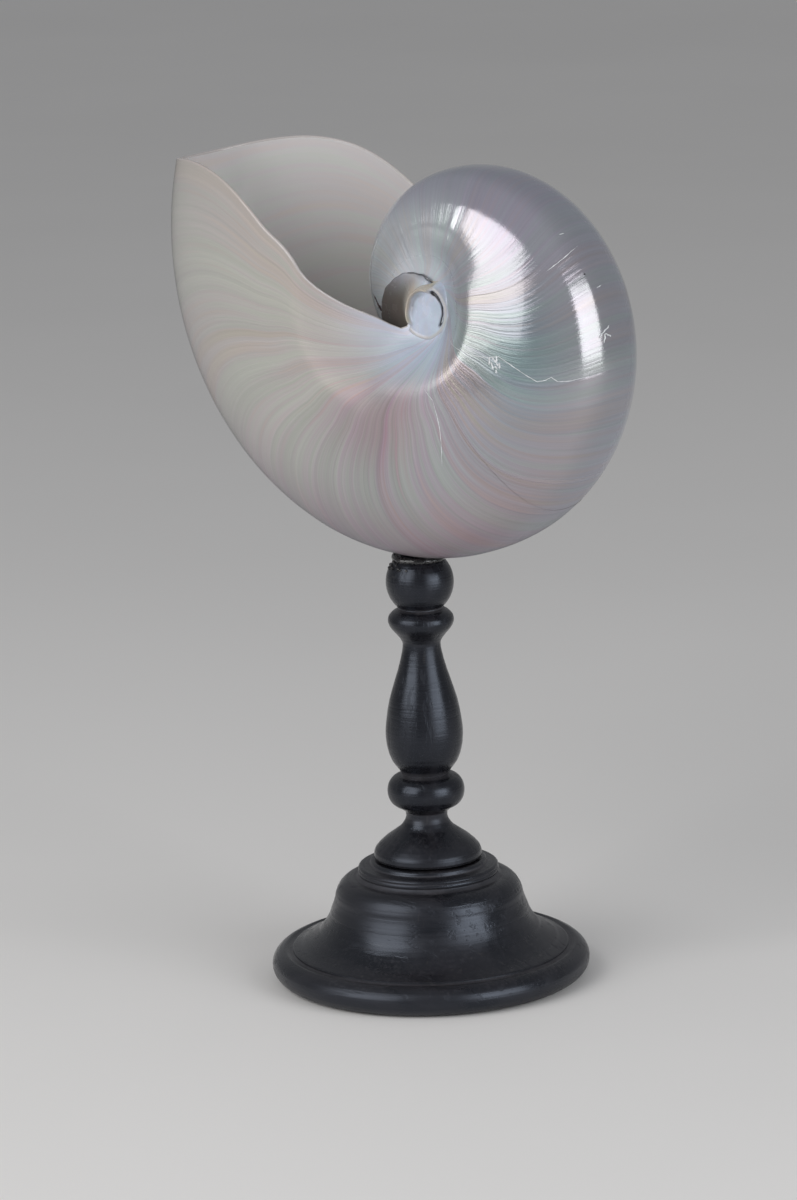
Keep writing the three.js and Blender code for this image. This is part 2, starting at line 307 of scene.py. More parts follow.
class MeshParts:
    """Gathers points, faces and per-point values of several surfaces for one mesh."""

    def __init__(self):
        self.points, self.faces, self.materials, self.values = [], [], [], {}
        self.count = 0

    def add(self, points, faces, material=0, **values):
        points = np.reshape(points, (-1, 3))
        self.points.append(points)
        self.faces.append(faces + self.count)
        self.materials.append(np.full(len(faces), material))
        for name, value in values.items():
            value = np.reshape(value, (len(points), -1))
            self.values.setdefault(name, []).append((self.count, value))
        self.count += len(points)

    def build(self, name, materials):
        mesh = bpy.data.meshes.new(name)
        points = np.concatenate(self.points) * MM
        mesh.from_pydata(points.tolist(), [], np.concatenate(self.faces).tolist())
        mesh.polygons.foreach_set("material_index", np.concatenate(self.materials).astype(np.int32))
        mesh.validate()
        for label, chunks in self.values.items():
            width = chunks[0][1].shape[1]
            whole = np.zeros((self.count, width), np.float32)
            for start, value in chunks:
                whole[start:start + len(value)] = value
            kind, slot = POINT_VALUES[width]
            mesh.attributes.new(label, kind, "POINT").data.foreach_set(slot, whole.ravel())
        mesh.shade_smooth()
        for material in materials:
            mesh.materials.append(material)
        obj = bpy.data.objects.new(name, mesh)
        bpy.context.scene.collection.objects.link(obj)
        return obj


def pearl_tint(growth, share, radius):
    """Ground colour of the pearl: cream on the body whorl, a rose flush, then sea green and lilac, and
    painted shade.
    """
    colours = bpy.context.scene.nautilus_pearl_colours
    degrees = np.degrees(growth)
    body = smooth_step((degrees + 30) / 60)
    # The third flush term, at the bottom of the outer edge, is partly a real rose tint and partly painted
    # shade that darkens the underside.
    rose_flush_and_shade = (
        bell(degrees + 15, 26, share - 0.42, 0.18) + 0.6 * bell(degrees + 33, 15, share - 0.30, 0.09)
        + 0.8 * bell(degrees + 18, 55, share - 0.92, 0.2))
    # Painted shade: darker pearl along the outer edge of the back and the coil.
    painted_edge_shade = 0.45 * smooth_step((share - 0.93) / 0.07) * smooth_step((-30 - degrees) / 60)
    back = bell(degrees + 100, 36, share - 0.68, 0.24)
    coil = smooth_step((-110 - degrees) / 60) * (0.35 + 0.65 * smooth_step((share - 0.55) / 0.3))
    mist = smooth_step((-135 - degrees) / 60) * smooth_step((40 - radius) / 16)
    eye = np.exp(-(radius / 19.0) ** 4) * (0.25 + 0.75 * smooth_step((degrees + 110) / 60))
    eye_colour = 1.28 * np.array(colours.porcelain)
    colour = np.ones((*degrees.shape, 3)) * np.array(colours.silver)
    layers = (
        (body, colours.cream), (coil, colours.lilac), (back, colours.sea_green),
        (rose_flush_and_shade, colours.rose), (mist, colours.mist), (painted_edge_shade, colours.edge_shade_colour), (0.9 * eye, eye_colour))
    for weight, tint in layers:
        weight = np.clip(weight, 0, 1)[..., None]
        colour = colour * (1 - weight) + weight * np.array(tint)
    return np.concatenate([colour, np.ones((*degrees.shape, 1))], -1)


def outer_grid(rows, columns):
    """Growth, places across and turns back from the lip, in rows that follow old lips."""
    places = across_places(columns)
    share = cross_section(places)[0]
    lip = lip_growth(share)
    g = np.linspace(OLDEST_LINE, 0, 4000)
    arc = np.concatenate([[0], np.cumsum(whorl_radius((g[1:] + g[:-1]) / 2 + 1.5) * np.diff(g))])
    lines = np.interp(np.linspace(0, arc[-1], rows), arc, g)[:, None]
    rounding = sizes().lip_thickness / MM / 2 / np.maximum(whorl_radius(lip) * share, 4.0)
    growth = lines + (lip - rounding * np.linspace(0, 1, rows)[:, None] ** 8)
    return growth, places, lines


def growth_ripple(lines, across):
    """Low uneven ripples left by the growing lip, in millimetres."""
    rng = np.random.default_rng(11)
    height = np.zeros(np.broadcast(lines, across).shape)
    for _ in range(18):
        waves = rng.uniform(8, 46)
        phase, lean, strength = rng.uniform(0, 6.28), rng.uniform(-1.2, 1.2), rng.uniform(0.3, 1)
        height = height + strength / (1 + waves / 30) * np.sin(waves * lines + phase + lean * across * 3)
    return height / 4


# Low scars left by old lips: degrees back from the lip, middle and reach as shares of the radius,
# height in millimetres
GROWTH_SCARS = (
    (-278.6, 0.68, 0.10, 0.26), (-270.6, 0.78, 0.08, 0.15), (-289.0, 0.70, 0.12, 0.08),
    (-262.0, 0.74, 0.10, 0.06))
SCAR_WIDTH = 1.6


def line_coordinates(degrees, across, radius):
    """Where the streaks are drawn: along the growth first, then across the whorl."""
    return np.stack([degrees / 3.6, across * 3, radius / 20], -1)


def build_outer_face(parts):
    growth, places, lines = outer_grid(OUTER_ROWS, OUTER_COLUMNS)
    across = np.broadcast_to(places, growth.shape)
    points = shell_point(growth, across)
    normals = grid_normals(points)
    share, _ = cross_section(across)
    radius = coil_radius(points)
    height = sizes().ripple / MM
    calm = smooth_step((radius - 8) / 50) * smooth_step(-lines / 0.05)
    ripple = growth_ripple(lines, across) * height * calm
    for back, middle, reach, depth in GROWTH_SCARS:
        ripple = ripple - depth * bell(np.degrees(lines) - back, SCAR_WIDTH, share - middle, reach)
    points = points - normals * (height * calm + ripple)[..., None]
    turned_back = np.degrees(np.broadcast_to(lines, growth.shape))
    gloss = smooth_step((-112 - turned_back) / 80) * (0.25 + 0.75 * smooth_step((radius - 9) / 18))
    # A painted sheen mask: strongest where the broad satin reflection of the left softbox falls on the body
    # whorl, weaker toward the outer edge.
    play = 0.40 + 0.60 * bell(turned_back + 130, np.where(turned_back > -130, 58, 130))
    play = play * (1 - 0.4 * smooth_step((share - 0.5) / 0.4))
    parts.add(
        points, grid_faces(*growth.shape), PEARL,
        pearl_tint=pearl_tint(growth, share, radius),
        shell_lines=line_coordinates(turned_back, across, radius),
        gloss=gloss, play=play, calm=smooth_step((radius - 9) / 16))
    return growth[-1], places, points[-1], normals[-1]


def build_lining(parts, lip, places, rim_points, rim_normals):
    """The inner face of the body chamber and the rounded lip between it and the outer face."""
    lip_thickness, wall_thickness = sizes().lip_thickness / MM, sizes().wall_thickness / MM
    f = np.linspace(0, 1, LINING_ROWS)[:, None]
    start = LAST_SEPTUM - math.radians(3)
    growth = start + (lip - start) * f
    across = np.broadcast_to(places, growth.shape)
    face = shell_point(growth, across)
    thick = lip_thickness + (wall_thickness - lip_thickness) * smooth_step((1 - f) * 6)
    points = face - grid_normals(face) * thick[..., None]
    points[-1] = rim_points - rim_normals * lip_thickness
    # The depth value is painted shade: little near the lip, full deep in the chamber.
    parts.add(
        points, grid_faces(*growth.shape, flip=True), LINING,
        shell_lines=line_coordinates(np.degrees(growth - lip), across, coil_radius(points)),
        depth=smooth_step((math.radians(60) - growth) / math.radians(110)))
    ahead = unit(shell_point(lip + 0.02, places) - shell_point(lip - 0.02, places))
    half = lip_thickness / 2
    middle = rim_points - rim_normals * half
    turns = np.linspace(0, np.pi, 9)
    rim = np.stack([middle + (rim_normals * np.cos(a) + ahead * np.sin(a)) * half for a in turns])
    lines = np.stack([np.zeros(len(places)), places * 3, np.full(len(places), 3.0)], -1)
    # The rounded lip takes the painted chamber shade at a fixed 0.42.
    parts.add(
        rim, grid_faces(*rim.shape[:2]), LINING,
        shell_lines=np.broadcast_to(lines, rim.shape), depth=np.full(rim.shape[:2], 0.42))


def build_septum(parts):
    """The last septum: a dish that curves away from the mouth, with the siphon's hole in its middle."""
    rings, hole, dish_depth, hole_depth = 30, 0.06, 12.5, 2.5
    angle = SPIRAL_ZERO - LAST_SEPTUM
    rim = shell_point(LAST_SEPTUM, across_places(61))
    along = np.array([math.sin(angle), 0, -math.cos(angle)])
    centre = round_coil(0.6 * whorl_radius(LAST_SEPTUM), angle, 0)
    outline = np.concatenate([rim, np.linspace(rim[-1], rim[0], 12)[1:-1]])
    share = np.linspace(hole, 1, rings)[:, None]
    back = -dish_depth * (1 - share ** 2.2) - hole_depth * bell(share - hole, 0.03)
    points = centre + (outline - centre) * share[..., None] - along * back[..., None]
    lines = np.broadcast_arrays(share * 6, np.linspace(0, 6, len(outline)), 1.0)
    # The septum, deepest in the chamber, takes the full painted shade.
    parts.add(
        points, grid_faces(*points.shape[:2], closed=True), LINING,
        shell_lines=np.stack(lines, -1), depth=np.ones(points.shape[:2]))


def turn_distance(turn, middle):
    """How far each angle is from the middle angle, in degrees, the short way round."""
    return np.abs((np.degrees(turn) - middle + 180) % 360 - 180)


# The umbilicus: the plug, the raised edge that goes on from the lip, and the apron beside it

EDGE_MIDDLE, EDGE_REACH = 146.0, 82.0
CRACK_MIDDLE, CRACK_REACH = 14.0, 58.0
EDGE_RADIUS, CRACK_RADIUS, OUTER_RING_RADIUS, PLUG_END = 6.7, 6.75, 8.1, 9.8
APRON_ANGLES = np.array([66, 80, 92, 105, 120, 135, 160, 190, 226])
APRON_RADII = np.array([7.6, 8.3, 9.2, 10.6, 12.5, 14.6, 17.6, 20.5, 23.0])
APRON_START = 7.2


def build_callus(parts, side):
    """The porcelain plug in the umbilicus. The lip runs on round it as a raised ivory edge."""
    spokes, plug_rise, crown, bowl_depth = 240, 0.4, 0.3, 1.1
    ridge_height, groove_depth, ring_height = 1.45, 0.5, 0.22
    turn = np.radians(np.linspace(-135, 225, spokes, endpoint=False))
    r = np.concatenate([
        [0.05, 1.0, 2.0, 3.0, 3.8], np.linspace(4.4, 7.8, 35), np.linspace(7.95, PLUG_END, 14)])[:, None]
    into_edge = EDGE_REACH - turn_distance(turn, EDGE_MIDDLE)
    edge = smooth_step(into_edge / 18)
    hollow = smooth_step((into_edge - 8) / 60)
    crack = smooth_step((CRACK_REACH - turn_distance(turn, CRACK_MIDDLE)) / 12)
    uneven = 1 + 0.25 * np.sin(9 * turn + 1) * np.sin(4 * turn)
    plug = CALLUS_HALF_WIDTH + plug_rise + crown * np.cos(np.minimum(r / 6.5, 1) * np.pi / 2)
    bowl = hollow * bowl_depth * smooth_step((r - 2.4) / 2.4)
    ridge = edge * ridge_height * bell(r - EDGE_RADIUS, 0.60)
    gape = 0.26 + 0.20 * bell(turn_distance(turn, 52), 20) + 0.12 * bell(turn_distance(turn, -20), 16)
    groove = crack * uneven * groove_depth * bell(r - CRACK_RADIUS, gape)
    ring = (1 - edge) * ring_height * bell(r - OUTER_RING_RADIUS, 0.7)
    top = plug - bowl + ridge - groove + ring
    blend = edge * smooth_step((r - 6.9) / 2.3) + (1 - edge) * smooth_step((r - 8.2) / 1.5)
    lateral = top + (flank_lateral(turn, np.broadcast_to(r, top.shape)) - 0.2 - top) * blend
    stain = crack * uneven * 1.5 * bell(r - CRACK_RADIUS - 0.08, gape + 0.12)
    stain = stain + 1.3 * bell(turn_distance(turn, 60), 7, r - 6.6, 0.6)
    ivory = edge * smooth_step((r - 5.7) / 0.7) + (1 - edge) * 0.6 * bell(r - OUTER_RING_RADIUS + 0.1, 0.6)
    place = r * (1 + 0.010 * np.sin(3 * turn + 0.5) + 0.005 * np.sin(8 * turn))
    # The plug's bowl just inside the raised edge gets painted shade, kept as a per-point value.
    parts.add(
        round_coil(place, turn, side * (lateral - SKIN * 0.4)),
        grid_faces(*top.shape, closed=True, flip=side > 0),
        stain=np.clip(stain, 0, 1), ivory=np.clip(ivory, 0, 1), shade=hollow * bell(r - 5.3, 0.7) * 0.5)


def flank_lateral(turn, radius):
    """Half width of the flank beside the umbilicus, at an angle from -135 to 225 degrees and a radius."""
    growth = SPIRAL_ZERO - turn - 2 * np.pi
    size = whorl_radius(growth)
    across = place_across(radius / size, np.linspace(0.02, 0.98, 3000))
    half = size * cross_section(across)[1] * np.exp(-sizes().narrowing * growth)
    return flank_half_width(growth, radius, half)


def build_apron(parts, side):
    """The smooth apron of callus that spreads from the plug over the first coil, to a dark edge."""
    spokes, rings, thickness, overhang, foot_height = 150, 44, 0.34, 0.25, 2.2
    degrees = np.linspace(APRON_ANGLES[0], APRON_ANGLES[-1], spokes)[:, None]
    turn = np.radians(degrees)
    edge = smooth_curve(APRON_ANGLES, APRON_RADII, degrees)
    edge = edge + 0.12 * np.sin(degrees / 5) + 0.1 * np.sin(degrees / 2.3)
    radius = APRON_START + (edge + overhang - APRON_START) * np.linspace(0, 1, rings) ** 0.8
    inner = np.maximum(radius - APRON_START, 0)
    thick = thickness * smooth_step((edge - radius) / 0.5) - 0.06
    slope = foot_height * np.exp(-(inner / 2.8) ** 1.5) * smooth_step((degrees - 70) / 30)
    lateral = flank_lateral(turn, radius) - SKIN + thick + slope
    # Painted shade of the pocket under the lip: darker toward the left and lower left, lighter next to the
    # plug, and darker along the apron's outer edge.
    shade = smooth_step((degrees - 90) / 85) * (0.15 + 0.85 * smooth_step(inner / 4.0)) * 0.95
    parts.add(
        round_coil(radius, turn, side * lateral), grid_faces(spokes, rings, flip=side < 0),
        stain=bell(edge - radius + 0.02, 0.27),
        ivory=bell(inner, 5.0) * smooth_step((degrees - 90) / 50),
        shade=np.maximum(shade, 0.5 * bell(edge - radius, 1.6)))


# Fine lines on the shell: each is a list of (growth in degrees, share of the whorl radius)

HEALED_BREAK = (
    (-95.5, 0.19), (-94, 0.28), (-97.5, 0.46), (-99.6, 0.515), (-101.5, 0.56), (-99.5, 0.63), (-97.8, 0.70),
    (-96.8, 0.755), (-98.2, 0.79), (-99.7, 0.812), (-98.8, 0.84), (-99.6, 0.88), (-100.8, 0.915),
    (-102.2, 0.96), (-103.2, 0.985))
CHIPS = (
    ((-99.5, 0.512), (-95.5, 0.520)), ((-100.0, 0.526), (-98.0, 0.556)), ((-97.6, 0.524), (-94.2, 0.545)),
    ((-96.4, 0.545), (-95.6, 0.564)), ((-101.5, 0.548), (-98.4, 0.553)), ((-98.8, 0.567), (-96.0, 0.573)),
    ((-95.2, 0.556), (-93.4, 0.562)), ((-98.0, 0.552), (-97.2, 0.566)),
    ((-112.8, 0.975), (-114, 0.984), (-116, 0.996)),
    ((-111, 0.983), (-113.8, 0.989), (-112.6, 0.996)))
SCRATCHES = (
    ((-136.5, 0.865), (-138, 0.915), (-139.6, 0.959), (-141.5, 0.992)),
    ((-147.2, 0.970), (-147.0, 0.984)),
    ((-127.3, 0.990), (-127.8, 0.998)),
    ((-51.5, 0.29), (-54.5, 0.37), (-51, 0.476), (-47.4, 0.55), (-44, 0.62)),
    ((-184, 0.66), (-183, 0.61), (-182, 0.55)))
COIL_EDGE = ((-250, 0.835), (-258, 0.845), (-266, 0.862), (-277, 0.890), (-287, 0.897), (-294, 0.895))
DARK_CRACK = ((-290.5, 0.822), (-294.5, 0.775), (-298.3, 0.758), (-302, 0.740), (-305, 0.722))
DARK_SPOT = ((-298.6, 0.750), (-300.6, 0.742), (-302.6, 0.732))
DARK_NICK = ((-132.4, 0.9785), (-132.2, 0.9795))

# Each line with its half width and its height, in millimetres
PALE_LINES = (
    (HEALED_BREAK, 0.15, 0.10), *((chip, 0.33, 0.20) for chip in CHIPS),
    *((scratch, 0.14, 0.08) for scratch in SCRATCHES), (COIL_EDGE, 0.24, 0.12))
DARK_LINES = ((DARK_CRACK, 0.46, 0.16), (DARK_SPOT, 0.80, 0.16), (DARK_NICK, 0.25, 0.11))


def surface_strand(parts, stations, width, height):
    """A hair-thin ridge or crack that lies on the outer face along the stations."""
    steps_each, probe = 12, 0.003
    steps = np.linspace(0, len(stations) - 1, len(stations) * steps_each)
    degrees, share = (np.interp(steps, range(len(stations)), column) for column in zip(*stations))
    growth = np.radians(degrees)
    wander = 0.0006 * (np.sin(steps * 5.1) + np.sin(steps * 11.7 + 1))
    across = -place_across(share + wander, np.linspace(0, 0.95, 6000))
    centre = shell_point(growth, across)
    over = shell_point(growth, across + probe) - shell_point(growth, across - probe)
    along = shell_point(growth + probe, across) - shell_point(growth - probe, across)
    normal = unit(np.cross(along, over))
    sideways = unit(np.cross(normal, unit(np.gradient(centre, axis=0))))
    ends = np.minimum(np.linspace(0, 1, len(steps)), np.linspace(1, 0, len(steps))) * 6
    uneven = 0.75 + 0.25 * np.sin(steps * 7.3) * np.sin(steps * 3.1 + 2)
    scale = (np.clip(ends, 0.12, 1) * uneven)[:, None]
    turns = np.linspace(0, 2 * np.pi, 8, endpoint=False)
    points = np.stack([
        centre + scale * (sideways * width * np.cos(a) + normal * height * np.sin(a)) for a in turns], 1)
    parts.add(points, grid_faces(len(steps), len(turns), closed=True))


# Turned profiles, as (radius, height) in millimetres

BALL_HEIGHT = 126.6
PROFILE_STEP, SHARP_ANGLE = 0.5, math.radians(38)


def round_stand(radius, turn, height):
    """Points at a radius and an angle round the stand's axis, and a height."""
    return np.stack(np.broadcast_arrays(radius * np.cos(turn), radius * np.sin(turn), height), -1)


def ellipse_arc(centre, radii, start, end, steps):
    a = np.radians(np.linspace(start, end, steps))
    return np.stack([centre[0] + radii[0] * np.cos(a), centre[1] + radii[1] * np.sin(a)], -1)


def spline(points, steps):
    """A Catmull-Rom curve through the points."""
    p = np.array(points, float)
    p = np.concatenate([2 * p[:1] - p[1:2], p, 2 * p[-1:] - p[-2:-1]])
    t = np.linspace(0, len(points) - 1, steps)
    i = np.minimum(t.astype(int), len(points) - 2)
    u = (t - i)[:, None]
    a, b, c, d = p[i], p[i + 1], p[i + 2], p[i + 3]
    square, cube = 2 * a - 5 * b + 4 * c - d, 3 * b - a - 3 * c + d
    return 0.5 * (2 * b + (c - a) * u + square * u ** 2 + cube * u ** 3)


def resample(profile, step):
    """Points at even steps along the profile, keeping its own corners."""
    out = [profile[0]]
    for a, b in zip(profile[:-1], profile[1:]):
        n = max(1, int(np.hypot(*(b - a)) / step))
        out.extend(a + (b - a) * k / n for k in range(1, n + 1))
    return np.array(out)


def turned_piece(name, profile, segments, material, grain_seed):
    """Turns the profile round the Z axis, with fine tool marks, and keeps where it is hollow or sharp."""
    profile = resample(profile, PROFILE_STEP)
    tangent = unit(np.gradient(profile, axis=0))
    normal = np.stack([tangent[:, 1], -tangent[:, 0]], -1)
    bend = np.gradient(np.unwrap(np.arctan2(tangent[:, 1], tangent[:, 0])))
    kernel = bell(np.linspace(-2, 2, 7), 1)
    bend = np.convolve(bend, kernel / kernel.sum(), mode="same")
    hollow = np.clip(-bend * 6 - 0.25, 0, 1)
    sharp = np.clip(bend * 4 - 0.3, 0, 1)
    marks = np.random.default_rng(grain_seed).normal(size=len(profile))
    marks = marks * bpy.context.scene.nautilus_stand_sizes.tool_mark / MM
    marks[:3] = 0
    ring = profile - normal * (np.abs(marks) * (profile[:, 0] > 1))[:, None]
    turn = np.linspace(0, 2 * np.pi, segments, endpoint=False)
    parts = MeshParts()
    parts.add(
        round_stand(ring[:, :1], turn, ring[:, 1:]), grid_faces(len(ring), segments, closed=True),
        hollow=np.repeat(hollow, segments), sharp=np.repeat(sharp, segments))
    piece = parts.build(name, [material])
    mesh = bmesh.new()
    mesh.from_mesh(piece.data)
    bmesh.ops.remove_doubles(mesh, verts=mesh.verts, dist=1e-6)
    bmesh.ops.dissolve_degenerate(mesh, edges=mesh.edges, dist=1e-7)
    bmesh.ops.recalc_face_normals(mesh, faces=mesh.faces)
    mesh.to_mesh(piece.data)
    mesh.free()
    piece.data.shade_smooth()
    piece.data.set_sharp_from_angle(angle=SHARP_ANGLE)
    return piece


def foot_profile(stand):
    rim, wall = stand.rim_radius / MM, stand.wall_radius / MM
    rim_middle = (44.4, 4.7)
    return np.concatenate([
        [[0.02, 0.0], [40, 0.0], [46.1, 0.0]],
        ellipse_arc(rim_middle, (rim - rim_middle[0], 4.95), -60, 76, 36),
        [[45.2, 9.32], [44.5, 9.12], [43.9, 9.1], [43.5, 9.3], [43.45, 9.75], [43.15, 9.98]],
        ellipse_arc((50, 25.5), (19.5, 16.5), 249.5, 198, 34),
        spline([(31.05, 21.6), (30.5, 23.0), (29.95, 24.5), (wall - 0.05, 25.8)], 8),
        ellipse_arc((23.4, 25), (wall - 23.4, 7.15), 10, 88, 26),
        [[22.95, 32.2], [22.6, 32.45], [22.2, 32.75]],
        spline([(21.95, 33.2), (22.2, 33.9), (22.0, 34.5)], 8),
        spline([(21.85, 34.65), (21.95, 35.3), (21.5, 35.85), (20.9, 36.05)], 12),
        [[20.6, 36.0], [20.3, 36.1], [19.2, 36.3], [18.7, 36.25], [18.5, 36.35]],
        spline([(18.4, 36.7), (18.15, 37.35), (17.7, 37.7)], 8),
        [[17.0, 37.78], [7.0, 37.78], [6.3, 37.5], [6.3, 30.0]],
    ])


def stem_profile(stand):
    flange, vase, ball = stand.flange_radius / MM, stand.vase_radius / MM, stand.ball_radius / MM
    return np.concatenate([
        [[0.02, 24.4], [5.6, 24.4], [6.0, 24.9], [6.0, 37.95], [15.9, 37.98], [16.3, 38.1]],
        spline([(16.7, 38.4), (flange, 39.2), (16.4, 41.2), (14, 43.8), (11.2, 45.9), (8.4, 48),
                (6.9, 50)], 44),
        spline([(6.45, 51.4), (6.6, 52.8), (7.4, 53.7)], 10),
        [[7.9, 54.1]],
        ellipse_arc((8, 59.7), (4.1, 5.1), -80, 80, 34),
        [[8.3, 65.0], [7.55, 65.4], [7.6, 65.8]],
        spline([(8.4, 66.9), (10.5, 70), (11.75, 74.2), (vase, 78.6), (11.7, 83), (10.7, 88.6),
                (8.8, 95), (7, 101), (5.95, 106.3), (6.6, 108.6), (9.2, 111.8)], 110),
        spline([(9.9, 112.9), (10.3, 114.3), (9.95, 115.9), (8.7, 117.3)], 18),
        [[7.5, 118.0], [7.0, 118.35]],
        ellipse_arc((0, BALL_HEIGHT), (ball, ball), -49, 60.5, 54),
        [[3.0, 135.1], [0.02, 135.1]],
    ])


# Shader helpers


class Nodes:
    """Adds nodes to the tree of a material or a group, and joins them."""

    def __init__(self, tree):
        self.tree = tree

    def add(self, kind, inputs=None, **settings):
        node = self.tree.nodes.new(kind)
        for key, value in settings.items():
            setattr(node, key, value)
        self.feed(node, inputs or {})
        return node

    def feed(self, node, inputs):
        """Sets each named input to a number or colour, or joins the output of another node to it."""
        for key, value in inputs.items():
            if isinstance(value, bpy.types.NodeSocket):
                self.tree.links.new(value, node.inputs[key])
            else:
                node.inputs[key].default_value = value

    def math(self, operation, *values, clamp=False):
        inputs = dict(enumerate(values))
        return self.add("ShaderNodeMath", inputs, operation=operation, use_clamp=clamp).outputs[0]

    def times(self, a, b, clamp=False):
        return self.math("MULTIPLY", a, b, clamp=clamp)

    def plus(self, a, b, clamp=False):
        return self.math("ADD", a, b, clamp=clamp)

    def weigh(self, first, *others):
        """The sum of values, each given as (value, weight)."""
        total = self.times(*first)
        for pair in others:
            total = self.plus(total, self.times(*pair))
        return total

    def stretch(self, vector, factors):
        node = self.add("ShaderNodeVectorMath", {0: vector, 1: factors}, operation="MULTIPLY")
        return node.outputs[0]

    def noise(self, vector, scale, detail, roughness, distortion=0.0):
        return self.add("ShaderNodeTexNoise", {
            "Vector": vector, "Scale": scale, "Detail": detail, "Roughness": roughness,
            "Distortion": distortion}).outputs["Fac"]

    def ramp(self, source, stops):
        node = self.add("ShaderNodeValToRGB", {"Fac": source})
        elements = node.color_ramp.elements
        while len(elements) < len(stops):
            elements.new(0.5)
        for element, (position, colour) in zip(elements, stops):
            element.position = position
            element.color = (*colour, 1)
        return node.outputs["Color"]

    def fade(self, source, low, high, to_low=0.0, to_high=1.0):
        inputs = dict(enumerate((source, low, high, to_low, to_high)))
        return self.add("ShaderNodeMapRange", inputs, interpolation_type="SMOOTHSTEP").outputs["Result"]

    def mix(self, factor, a, b, blend="MIX"):
        a, b = (c if isinstance(c, bpy.types.NodeSocket) else (*c, 1) for c in (a, b))
        node = self.add("ShaderNodeMix", {0: factor, 6: a, 7: b}, data_type="RGBA", blend_type=blend)
        return node.outputs[2]

    def shaded(self, colour, tint, level):
        """The colour times a tint, made lighter or darker by a level."""
        grey = self.add("ShaderNodeCombineColor", {0: level, 1: level, 2: level}).outputs[0]
        return self.mix(1.0, self.mix(1.0, colour, tint, "MULTIPLY"), grey, "MULTIPLY")

    def bump(self, height, distance, strength, **under):
        inputs = {"Height": height, "Distance": distance, "Strength": strength, **under}
        return self.add("ShaderNodeBump", inputs).outputs["Normal"]

    def attribute(self, name, output="Fac"):
        return self.add("ShaderNodeAttribute", attribute_name=name).outputs[output]

    def position(self):
        return self.add("ShaderNodeTexCoord").outputs["Object"]

    def place(self, name, **inputs):
        """The outputs of a shared group, placed with its own values."""
        return self.add("ShaderNodeGroup", inputs, node_tree=shared_group(name)).outputs


def growth_streaks(nodes, lines, contrast):
    """Uneven streaks that follow old lips, broad and fine."""
    streaks = (
        nodes.noise(nodes.stretch(lines, (0.5, 0.16, 0.1)), 1.0, 3, 0.55, 0.15),
        nodes.noise(nodes.stretch(lines, (3.2, 0.22, 0.1)), 1.0, 5, 0.6, 0.1),
        nodes.noise(nodes.stretch(lines, (14.0, 0.5, 0.2)), 1.0, 3, 0.6))
    return [nodes.times(nodes.math("SUBTRACT", streak, 0.5), contrast) for streak in streaks]


def pearl_sheen(nodes, lines, strength):
    """Pale pink, green, blue and lilac that drift from one old lip to the next."""
    drift = nodes.noise(nodes.stretch(lines, (0.34, 0.30, 0.25)), 1.0, 2, 0.5, 0.5)
    streak = nodes.noise(nodes.stretch(lines, (1.9, 0.16, 0.1)), 1.0, 4, 0.6, 0.1)
    hues = nodes.ramp(nodes.weigh((drift, 0.55), (streak, 0.45)), (
        (0.33, (0.96, 0.88, 0.76)), (0.41, (1.0, 0.82, 0.84)), (0.47, (0.92, 0.86, 1.0)),
        (0.52, (0.90, 0.97, 1.0)), (0.58, (0.85, 1.0, 0.95)), (0.66, (1.0, 0.87, 0.94))))
    return [nodes.mix(strength, (1.0, 1.0, 1.0), hues)]


def fine_scratches(nodes, position, density):
    """Sparse hair scratches in two directions."""
    masks = []
    for stretch, scale in (((1.0, 0.6, 0.06), 900.0), ((0.07, 0.5, 1.0), 760.0)):
        hair = nodes.noise(nodes.stretch(position, stretch), scale, 1, 0.4)
        where = nodes.noise(position, 45.0, 2, 0.5)
        masks.append(nodes.times(nodes.fade(hair, 0.70, 0.76), nodes.fade(where, 0.5, 0.62)))
    return [nodes.times(nodes.math("MAXIMUM", *masks), density, True)]


def settled_dust(nodes, position, normal, hollow, amount):
    """Dust on what faces up and in the hollows of a turning."""
    facing = nodes.add("ShaderNodeSeparateXYZ", {0: normal}).outputs["Z"]
    up = nodes.fade(facing, 0.35, 0.95, 0.0, 0.55)
    speck = nodes.noise(position, 900.0, 3, 0.6)
    cloud = nodes.noise(position, 70.0, 4, 0.6)
    grit = nodes.times(nodes.fade(speck, 0.45, 0.7), nodes.fade(cloud, 0.35, 0.65))
    held = nodes.times(hollow, nodes.fade(cloud, 0.3, 0.6, 0.35, 1.0))
    return [nodes.times(nodes.plus(nodes.times(up, grit), held), amount, True)]


def wood_figure(nodes, position):
    """Long pores and soft figure of a close-grained wood under its stain."""
    pores = nodes.noise(position, 420.0, 3, 0.65)
    return [nodes.noise(position, 55.0, 4, 0.6, 0.6), nodes.fade(pores, 0.56, 0.68)]


# What fills each shared group, its inputs with their defaults, where None is a vector, and its outputs
SHARED_GROUPS = {
    "growth_streaks": (growth_streaks, {"Lines": None, "Contrast": 1.0}, ("Broad", "Fine", "Hair")),
    "pearl_sheen": (pearl_sheen, {"Lines": None, "Strength": 0.5}, ("Colour",)),
    "fine_scratches": (fine_scratches, {"Position": None, "Density": 0.5}, ("Mask",)),
    "settled_dust": (
        settled_dust, {"Position": None, "Normal": None, "Hollow": 0.0, "Amount": 0.5}, ("Mask",)),
    "wood_figure": (wood_figure, {"Position": None}, ("Figure", "Pores")),
}


